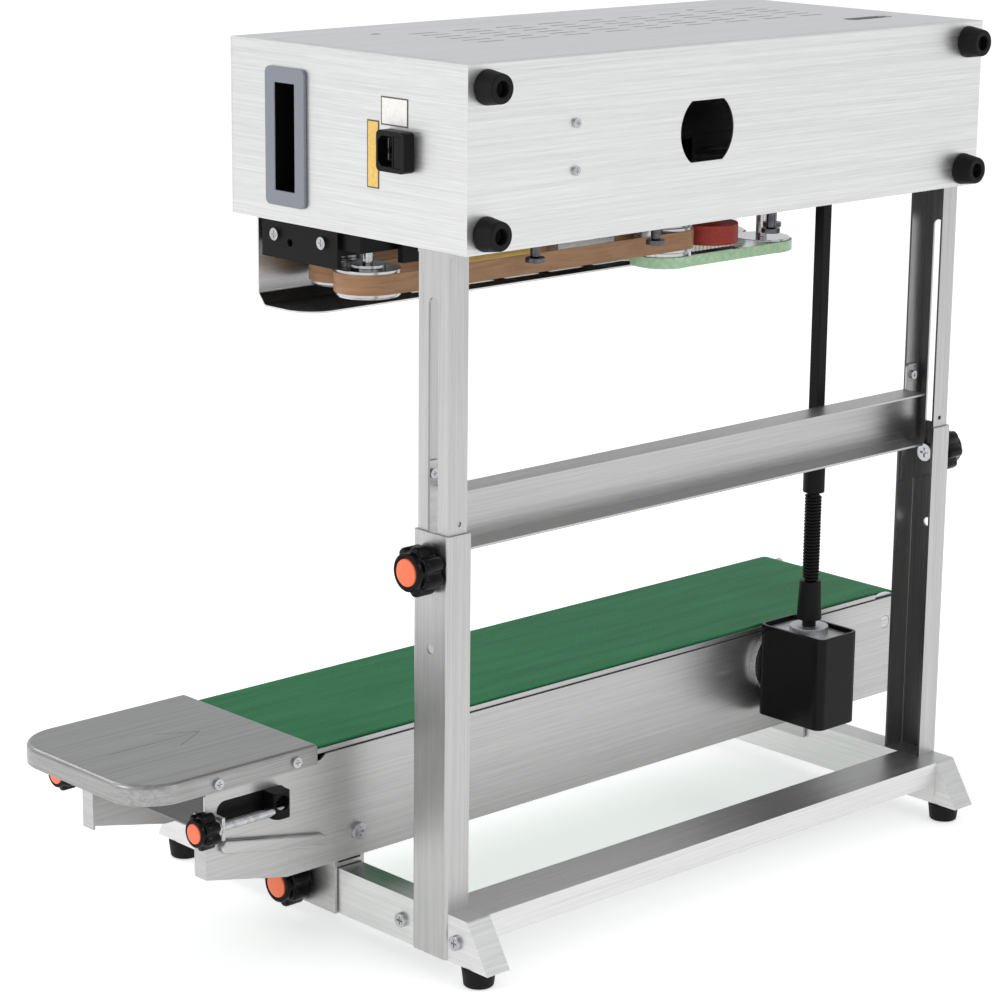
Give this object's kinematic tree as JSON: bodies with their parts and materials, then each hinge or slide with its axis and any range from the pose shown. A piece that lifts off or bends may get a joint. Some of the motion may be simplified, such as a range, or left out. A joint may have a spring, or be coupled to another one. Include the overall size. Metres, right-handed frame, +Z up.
{
  "type": "continuous band sealer",
  "caption": "Band sealer with a lift-up sealing head on two telescopic legs over a belt conveyor that carries bags under twin sealing bands.",
  "frame": {"origin": "centre of the bounding box, on the floor that the feet stand on", "axes": "+Z up, +X towards the infeed end, -Y towards the operator; bags travel towards -X"},
  "size_m": [0.89, 0.423, 0.714],
  "materials": {
    "brushed_steel": "brushed",
    "black_plastic": "matte",
    "grey_plastic": "satin",
    "black_rubber": "matte",
    "green_belt": "satin",
    "green_toothed_belt": "satin",
    "brown_band": "smooth woven",
    "red_rubber": "matte",
    "chrome": "polished",
    "black_metal": "satin",
    "aluminium": "machined",
    "brass": "machined",
    "dark_steel": "oiled"
  },
  "bodies": {
    "base": {"side_rails": "brushed_steel", "rear_bar": "brushed_steel", "lower_leg_infeed": "brushed_steel", "lower_leg_outfeed": "brushed_steel", "base_feet": "black_rubber", "base_screws": "chrome"},
    "leg_knob_infeed": {"leg_knob_infeed": "black_plastic"},
    "leg_knob_outfeed": {"leg_knob_outfeed": "black_plastic"},
    "head": {"upper_leg_infeed": "brushed_steel", "upper_leg_outfeed": "brushed_steel", "cross_brace": "brushed_steel", "head_housing": "brushed_steel", "front_panel": "brushed_steel", "top_cover": "brushed_steel", "mechanism_plate": "aluminium", "head_feet": "black_rubber", "handle_cups": "grey_plastic", "power_inlet": "black_plastic", "front_guard": "brushed_steel", "belt_end_bracket": "black_metal", "heating_blocks": "brass", "cooling_blocks": "aluminium", "drive_motor": "black_metal", "drive_chain": "dark_steel", "head_fasteners": "chrome", "seal_belts": "brown_band", "guide_belts": "green_toothed_belt", "panel_instruments": "black_plastic"},
    "motor_sprocket": {"motor_sprocket": "dark_steel"},
    "spindle_back": {"drive_spindle_back": "chrome"},
    "spindle_front": {"drive_spindle_front": "chrome"},
    "infeed_pulley_back": {"infeed_pulley_back": "chrome"},
    "infeed_pulley_front": {"infeed_pulley_front": "chrome"},
    "guide_pulley_back": {"guide_pulley_back": "aluminium"},
    "guide_pulley_front": {"guide_pulley_front": "aluminium"},
    "press_wheel": {"press_wheel": "red_rubber"},
    "emboss_wheel": {"emboss_wheel": "brass"},
    "cooling_fan": {"cooling_fan": "black_plastic"},
    "power_switch": {"power_switch": "black_plastic"},
    "speed_knob": {"speed_knob": "black_plastic"},
    "drive_hub": {"drive_hub": "dark_steel"},
    "drive_tube": {"drive_tube": "black_metal"},
    "conveyor": {"conveyor_side_back": "brushed_steel", "conveyor_side_front": "brushed_steel", "conveyor_bed": "brushed_steel", "infeed_plate": "brushed_steel", "conveyor_belt": "green_belt", "rail_clamps": "brushed_steel", "gearbox_housing": "aluminium", "gearbox_cover": "black_metal", "conveyor_screws": "chrome"},
    "gearbox_input": {"gearbox_input": "black_metal", "flexible_coupling": "black_metal"},
    "clamp_knob": {"clamp_knob": "black_plastic"},
    "tension_knob_back": {"tension_knob_back": "black_plastic"},
    "tension_knob_front": {"tension_knob_front": "black_plastic"},
    "carriage": {"tension_blocks": "black_metal"},
    "infeed_roller": {"infeed_roller": "aluminium"},
    "drive_roller": {"drive_roller": "aluminium"},
    "outfeed_roller": {"outfeed_roller": "aluminium"}
  },
  "joints": [
    {"name": "head_lift", "type": "slide", "parent": "base", "child": "head", "axis": [0, 0, 1], "range_m": [-0.1, 0.004]},
    {"name": "leg_knob_infeed_turn", "type": "hinge", "parent": "base", "child": "leg_knob_infeed", "pos_m": [0.2155, 0.1455, 0.331], "axis": [1, 0, 0], "range_deg": [0, 720]},
    {"name": "leg_knob_outfeed_turn", "type": "hinge", "parent": "base", "child": "leg_knob_outfeed", "pos_m": [-0.3815, 0.1455, 0.331], "axis": [-1, 0, 0], "range_deg": [0, 720]},
    {"name": "conveyor_reach", "type": "slide", "parent": "base", "child": "conveyor", "axis": [0, 1, 0], "range_m": [-0.02, 0.004]},
    {"name": "clamp_knob_turn", "type": "hinge", "parent": "conveyor", "child": "clamp_knob", "pos_m": [0.2135, -0.0125, 0.0345], "axis": [1, 0, 0], "range_deg": [0, 720]},
    {"name": "tension_knob_back_turn", "type": "hinge", "parent": "conveyor", "child": "tension_knob_back", "pos_m": [0.38, 0.0855, 0.144], "axis": [1, 0, 0], "range_deg": [0, 2304]},
    {"name": "tension_knob_front_turn", "type": "hinge", "parent": "conveyor", "child": "tension_knob_front", "pos_m": [0.38, -0.0945, 0.144], "axis": [1, 0, 0], "range_deg": [0, 2304]},
    {"name": "carriage_slide", "type": "slide", "parent": "conveyor", "child": "carriage", "axis": [1, 0, 0], "range_m": [-0.008, 0]},
    {"name": "drive_roller_spin", "type": "hinge", "parent": "conveyor", "child": "drive_roller", "pos_m": [-0.255, -0.0045, 0.147], "axis": [0, -1, 0], "continuous": true},
    {"name": "outfeed_roller_spin", "type": "hinge", "parent": "conveyor", "child": "outfeed_roller", "pos_m": [-0.411, -0.0045, 0.151], "axis": [0, -1, 0], "continuous": true},
    {"name": "infeed_roller_spin", "type": "hinge", "parent": "carriage", "child": "infeed_roller", "pos_m": [0.317, -0.0045, 0.151], "axis": [0, -1, 0], "continuous": true},
    {"name": "gearbox_input_spin", "type": "hinge", "parent": "conveyor", "child": "gearbox_input", "pos_m": [-0.255, 0.1185, 0.186], "axis": [0, 0, 1], "continuous": true},
    {"name": "drive_tube_spin", "type": "hinge", "parent": "base", "child": "drive_tube", "pos_m": [-0.255, 0.1185, 0.334], "axis": [0, 0, 1], "continuous": true},
    {"name": "drive_hub_spin", "type": "hinge", "parent": "head", "child": "drive_hub", "pos_m": [-0.255, 0.1185, 0.6], "axis": [0, 0, 1], "continuous": true},
    {"name": "motor_spin", "type": "hinge", "parent": "head", "child": "motor_sprocket", "pos_m": [-0.053, 0.0915, 0.6], "axis": [0, 0, 1], "continuous": true},
    {"name": "spindle_back_spin", "type": "hinge", "parent": "head", "child": "spindle_back", "pos_m": [-0.157, 0.0228, 0.588], "axis": [0, 0, 1], "continuous": true},
    {"name": "spindle_front_spin", "type": "hinge", "parent": "head", "child": "spindle_front", "pos_m": [-0.157, -0.0318, 0.588], "axis": [0, 0, 1], "continuous": true},
    {"name": "infeed_pulley_back_spin", "type": "hinge", "parent": "head", "child": "infeed_pulley_back", "pos_m": [0.173, 0.0228, 0.523], "axis": [0, 0, 1], "continuous": true},
    {"name": "infeed_pulley_front_spin", "type": "hinge", "parent": "head", "child": "infeed_pulley_front", "pos_m": [0.153, -0.0318, 0.523], "axis": [0, 0, 1], "continuous": true},
    {"name": "guide_pulley_back_spin", "type": "hinge", "parent": "head", "child": "guide_pulley_back", "pos_m": [-0.283, 0.0228, 0.508], "axis": [0, 0, 1], "continuous": true},
    {"name": "guide_pulley_front_spin", "type": "hinge", "parent": "head", "child": "guide_pulley_front", "pos_m": [-0.283, -0.0318, 0.508], "axis": [0, 0, 1], "continuous": true},
    {"name": "press_wheel_spin", "type": "hinge", "parent": "head", "child": "press_wheel", "pos_m": [-0.2135, 0.0228, 0.523], "axis": [0, 0, 1], "continuous": true},
    {"name": "emboss_wheel_spin", "type": "hinge", "parent": "head", "child": "emboss_wheel", "pos_m": [-0.2135, -0.0318, 0.523], "axis": [0, 0, 1], "continuous": true},
    {"name": "cooling_fan_spin", "type": "hinge", "parent": "head", "child": "cooling_fan", "pos_m": [-0.08, -0.0365, 0.5755], "axis": [0, 0, 1], "continuous": true},
    {"name": "power_switch_rock", "type": "hinge", "parent": "head", "child": "power_switch", "pos_m": [0.067, -0.0925, 0.65], "axis": [0, 0, 1], "range_deg": [-6, 6]},
    {"name": "speed_knob_turn", "type": "hinge", "parent": "head", "child": "speed_knob", "pos_m": [-0.153, -0.0965, 0.65], "axis": [0, -1, 0], "range_deg": [-150, 150]}
  ],
  "couplings": [
    {"joint": "outfeed_roller_spin", "follows": "drive_roller_spin", "ratio": 0.85714},
    {"joint": "infeed_roller_spin", "follows": "drive_roller_spin", "ratio": 0.85714},
    {"joint": "gearbox_input_spin", "follows": "drive_roller_spin", "ratio": -1},
    {"joint": "drive_tube_spin", "follows": "drive_roller_spin", "ratio": -1},
    {"joint": "drive_hub_spin", "follows": "drive_roller_spin", "ratio": -1},
    {"joint": "motor_spin", "follows": "drive_roller_spin", "ratio": -0.88889},
    {"joint": "spindle_back_spin", "follows": "drive_roller_spin", "ratio": -0.88889},
    {"joint": "spindle_front_spin", "follows": "drive_roller_spin", "ratio": 0.88889},
    {"joint": "infeed_pulley_back_spin", "follows": "drive_roller_spin", "ratio": -0.88889},
    {"joint": "infeed_pulley_front_spin", "follows": "drive_roller_spin", "ratio": 0.88889},
    {"joint": "guide_pulley_back_spin", "follows": "drive_roller_spin", "ratio": -0.88889},
    {"joint": "guide_pulley_front_spin", "follows": "drive_roller_spin", "ratio": 0.88889},
    {"joint": "press_wheel_spin", "follows": "drive_roller_spin", "ratio": -0.90566},
    {"joint": "emboss_wheel_spin", "follows": "drive_roller_spin", "ratio": 0.92308},
    {"joint": "tension_knob_front_turn", "follows": "carriage_slide", "rad_per_m": -5026.5},
    {"joint": "tension_knob_back_turn", "follows": "carriage_slide", "rad_per_m": -5026.5}
  ]
}
